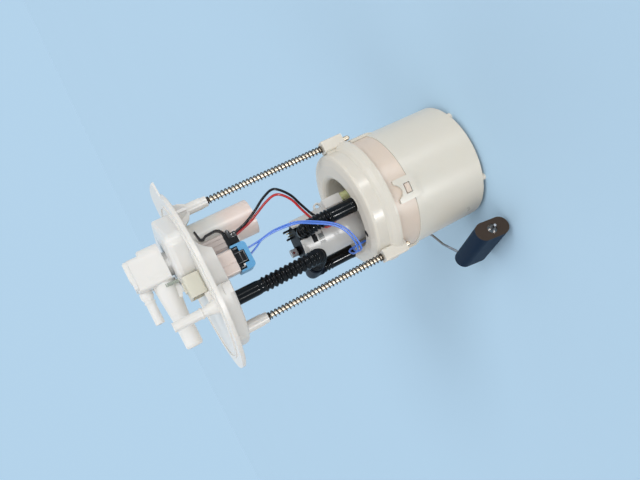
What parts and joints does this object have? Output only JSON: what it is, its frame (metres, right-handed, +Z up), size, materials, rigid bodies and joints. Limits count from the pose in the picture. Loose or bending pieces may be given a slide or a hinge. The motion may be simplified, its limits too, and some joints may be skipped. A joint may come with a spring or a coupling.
{
  "type": "fuel pump module",
  "caption": "In-tank fuel pump module: round flange with tube nozzles on sprung guide rods over a reservoir cup with electric pump, ring filter and float level sender.",
  "frame": {"origin": "centre of the reservoir cup, on the plane its four feet stand on", "axes": "+Z up along the guide rods to the flange, -Y to the front with the two plugs, -X the way the nozzles point and the side of the level float"},
  "size_m": [0.156, 0.129, 0.2516],
  "materials": {
    "white_plastic": "satin moulded, slightly see-through",
    "rose_plastic": "satin moulded, warm white",
    "blue_plastic": "satin moulded",
    "black_plastic": "satin moulded",
    "grey_plastic": "satin moulded",
    "soft_grey": "soft, matt",
    "spring_steel": "bright wire with a warm tint",
    "can_steel": "plated, smooth",
    "contact_brass": "tinned edges",
    "hose_black": "glossy convoluted tube",
    "lead_blue": "glossy insulation",
    "lead_red": "glossy insulation",
    "lead_black": "glossy insulation",
    "float_foam": "closed foam, matt",
    "filter_paper": "woven or pleated medium",
    "ceramic": "glazed card",
    "magnet": "pressed ferrite",
    "copper": "wound and varnished",
    "clear_plastic": "clear",
    "seal_rubber": "soft, matt"
  },
  "bodies": {
    "reservoir": {"reservoir_cup": "white_plastic", "inner_sleeve": "rose_plastic", "filter_ring": "white_plastic", "filter_base": "white_plastic", "filter_element": "filter_paper", "pump_holder": "white_plastic", "pump_can": "can_steel", "pump_magnets": "magnet", "pump_inlet": "grey_plastic", "pump_isolator": "black_plastic", "pump_head": "black_plastic", "relief_valve": "clear_plastic", "pump_terminals": "contact_brass", "suction_strainer": "filter_paper", "jet_pump": "black_plastic", "riser_tube": "clear_plastic", "sender_body": "white_plastic", "sender_card": "ceramic", "sender_contacts": "contact_brass", "outlet_hose": "hose_black", "hose_elbow": "hose_black", "filter_hose": "hose_black"},
    "flange": {"flange_cover": "white_plastic", "vapour_chamber": "white_plastic", "valve_tower": "white_plastic", "tower_cap": "white_plastic", "outer_connector": "white_plastic", "outer_terminals": "contact_brass", "valve_tube": "rose_plastic", "valve_spring": "spring_steel", "valve_tube_cap": "rose_plastic", "sender_header": "rose_plastic", "header_terminals": "contact_brass", "sender_plug": "black_plastic", "plug_lock_frame": "blue_plastic", "pump_header": "grey_plastic", "pump_header_terminals": "contact_brass", "pump_plug": "black_plastic", "wire_boot": "soft_grey", "guide_rods": "spring_steel", "spring_left": "spring_steel", "spring_right": "spring_steel", "feed_hose": "hose_black", "blue_lead_front": "lead_blue", "blue_lead_rear": "lead_blue", "red_lead": "lead_red", "black_lead": "lead_black"},
    "lever": {"lock_lever": "black_plastic"},
    "vent_float": {"valve_float": "grey_plastic"},
    "rotor": {"pump_armature": "copper", "pump_wheel": "black_plastic"},
    "inlet_valve": {"foot_valve": "seal_rubber"},
    "float_arm": {"arm_hub": "black_plastic", "float_arm": "spring_steel", "level_float": "float_foam", "push_nut": "can_steel"}
  },
  "joints": [
    {"name": "flange_slide", "type": "slide", "parent": "reservoir", "child": "flange", "axis": [0, 0, 1], "range_m": [-0.028, 0], "stiffness_N_per_m": 300, "springref_m": 0.05, "deforming": ["spring_left", "spring_right", "feed_hose", "blue_lead_front", "blue_lead_rear", "red_lead", "black_lead"]},
    {"name": "lever_flex", "type": "hinge", "parent": "flange", "child": "lever", "pos_m": [0.0195, -0.0239, 0.1849], "axis": [0, 1, 0], "range_deg": [0, 6], "stiffness_Nm_per_rad": 0.4, "springref_deg": -2.86},
    {"name": "vent_float_lift", "type": "slide", "parent": "flange", "child": "vent_float", "axis": [0, 0, 1], "range_m": [0, 0.005], "deforming": ["valve_spring"]},
    {"name": "rotor_spin", "type": "hinge", "parent": "reservoir", "child": "rotor", "pos_m": [-0.0057, 0.0065, 0.098], "axis": [0, 0, 1], "continuous": true},
    {"name": "inlet_valve_lift", "type": "slide", "parent": "reservoir", "child": "inlet_valve", "axis": [0, 0, 1], "range_m": [0, 0.0004]},
    {"name": "sender_swing", "type": "hinge", "parent": "reservoir", "child": "float_arm", "pos_m": [-0.01142, 0.04868, 0.034], "axis": [-0.2284, 0.9736, 0], "range_deg": [0, 40]}
  ]
}
